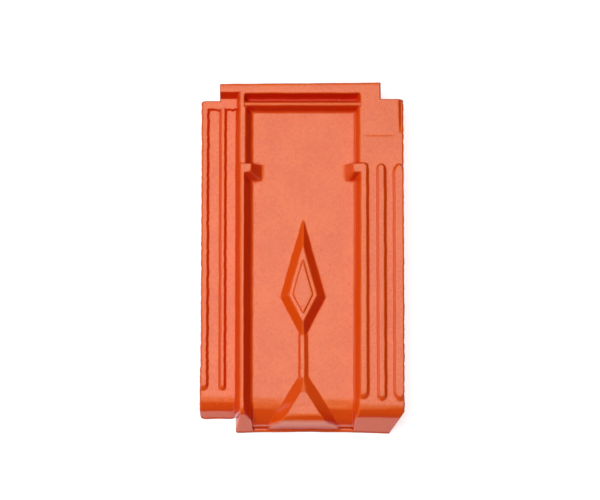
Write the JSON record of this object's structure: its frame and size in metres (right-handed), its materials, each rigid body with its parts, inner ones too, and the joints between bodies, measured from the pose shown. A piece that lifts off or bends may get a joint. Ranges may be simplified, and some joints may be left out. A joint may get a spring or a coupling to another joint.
{
  "type": "interlocking glazed roof tile",
  "caption": "Pressed clay roof tile with a raised lozenge and delta in its pan, a channelled side lap, a ribbed covering strip, a grooved head and a hooked tail lip.",
  "frame": {"origin": "middle of the plane that the tail lip and the two nibs stand on, halfway along the tile and halfway across it", "axes": "+X across the tile from the channelled side plate to the covering strip, +Y up the roof from tail to head, +Z out of the weather side"},
  "size_m": [0.198, 0.343, 0.0315],
  "materials": {
    "glaze": "gloss"
  },
  "bodies": {
    "root": {"roof_tile": "glaze"}
  },
  "joints": []
}
